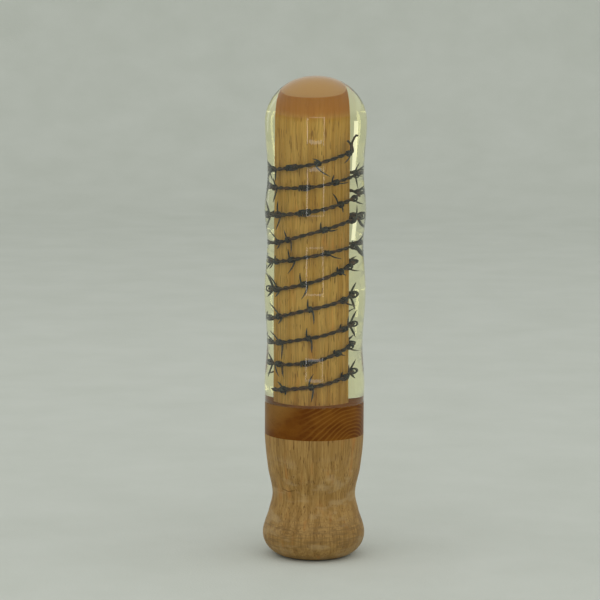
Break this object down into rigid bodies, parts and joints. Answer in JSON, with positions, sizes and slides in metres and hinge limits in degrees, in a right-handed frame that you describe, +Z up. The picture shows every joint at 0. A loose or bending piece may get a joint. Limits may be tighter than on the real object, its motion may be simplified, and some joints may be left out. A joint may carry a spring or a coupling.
{
  "type": "turned wood and resin column",
  "caption": "Free-standing turned column: beech foot, dark wood collar and a domed clear resin body cast round a beech dowel wound with barbed wire.",
  "frame": {"origin": "centre of the flat base that the column stands on", "axes": "+Z up the column's axis towards the dome; -Y is the front, where the wire rises from left to right"},
  "size_m": [0.0426, 0.0426, 0.2],
  "materials": {
    "beech_foot": "satin",
    "dark_collar": "gloss",
    "beech_dowel": "satin",
    "clear_resin": "polished",
    "rusty_wire": "matte",
    "barb_wire": "matte"
  },
  "bodies": {
    "root": {"foot_block": "beech_foot", "collar_disc": "dark_collar", "core_rod": "beech_dowel", "resin_casting": "clear_resin", "line_wire_a": "rusty_wire", "line_wire_b": "rusty_wire", "barbs_turn_01": "barb_wire", "barbs_turn_02": "barb_wire", "barbs_turn_03": "barb_wire", "barbs_turn_04": "barb_wire", "barbs_turn_05": "barb_wire", "barbs_turn_06": "barb_wire", "barbs_turn_07": "barb_wire", "barbs_turn_08": "barb_wire", "barbs_turn_09": "barb_wire", "barbs_turn_10": "barb_wire"}
  },
  "joints": []
}
